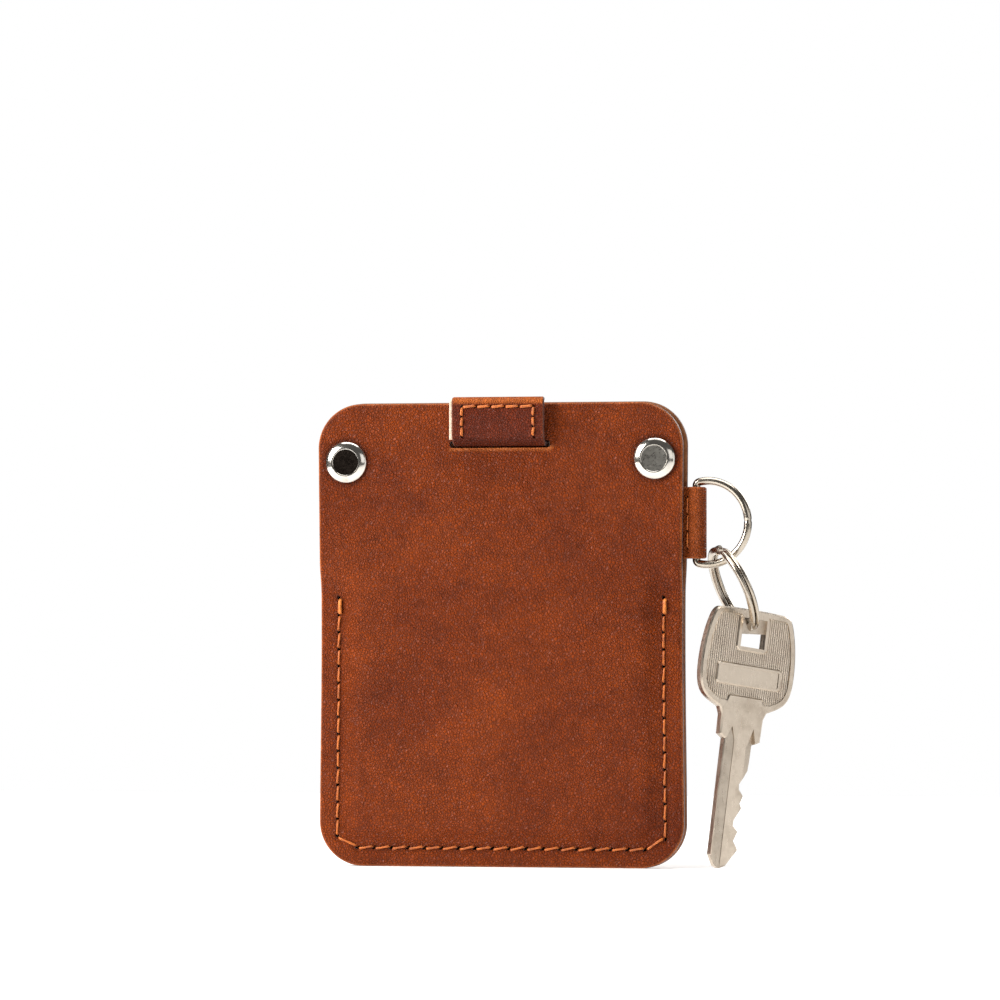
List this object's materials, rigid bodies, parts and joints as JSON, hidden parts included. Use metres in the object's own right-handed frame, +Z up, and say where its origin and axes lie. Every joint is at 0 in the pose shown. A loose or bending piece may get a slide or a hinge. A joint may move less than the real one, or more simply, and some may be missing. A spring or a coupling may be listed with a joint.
{
  "type": "minimalist wallet",
  "caption": "Slim upright leather card sleeve with a front pull tab on an inner strap, capped rivets, a sewn edge, and a side loop that carries a ring, a split ring and a key.",
  "frame": {"origin": "middle of the back panel's bottom edge, which the wallet stands on", "axes": "+Z up towards the open top, -Y out of the front with the pull tab, +X towards the key loop"},
  "size_m": [0.1069, 0.0193, 0.1048],
  "materials": {
    "panel_leather": "waxed full-grain, cognac brown",
    "strap_leather": "thin waxed leather, redder brown",
    "thread": "waxed polyester thread, orange tan",
    "nickel": "polished nickel plate",
    "key_metal": "satin nickel-plated brass"
  },
  "bodies": {
    "wallet": {"front_panel": "panel_leather", "back_panel": "panel_leather", "seam_thread": "thread", "pull_strap": "strap_leather", "strap_anchor_thread": "thread", "left_rivet_cap": "nickel", "left_rivet_post": "nickel", "right_rivet_cap": "nickel", "right_rivet_post": "nickel", "key_loop": "strap_leather", "key_loop_thread": "thread", "loop_anchor_thread": "thread"},
    "tab": {"pull_tab": "strap_leather", "pull_tab_thread": "thread"},
    "d_link": {"d_ring": "nickel"},
    "split_link": {"split_ring": "nickel"},
    "house_key": {"key": "key_metal"}
  },
  "joints": [
    {"name": "tab_pull", "type": "slide", "parent": "wallet", "child": "tab", "axis": [0, 0, 1], "range_m": [0, 0.03], "deforming": ["pull_strap"]},
    {"name": "d_ring_swing", "type": "hinge", "parent": "wallet", "child": "d_link", "pos_m": [0.044, -0.00115, 0.07665], "axis": [0, 0, 1], "range_deg": [-35, 20]},
    {"name": "split_ring_swing", "type": "hinge", "parent": "d_link", "child": "split_link", "pos_m": [0.04976, -0.00186, 0.06795], "axis": [0.9315, -0.1144, 0.3452], "range_deg": [-25, 10]},
    {"name": "key_swing", "type": "hinge", "parent": "split_link", "child": "house_key", "pos_m": [0.05602, -0.00041, 0.05352], "axis": [0.4298, -0.8977, 0.097], "range_deg": [-5, 25]}
  ]
}
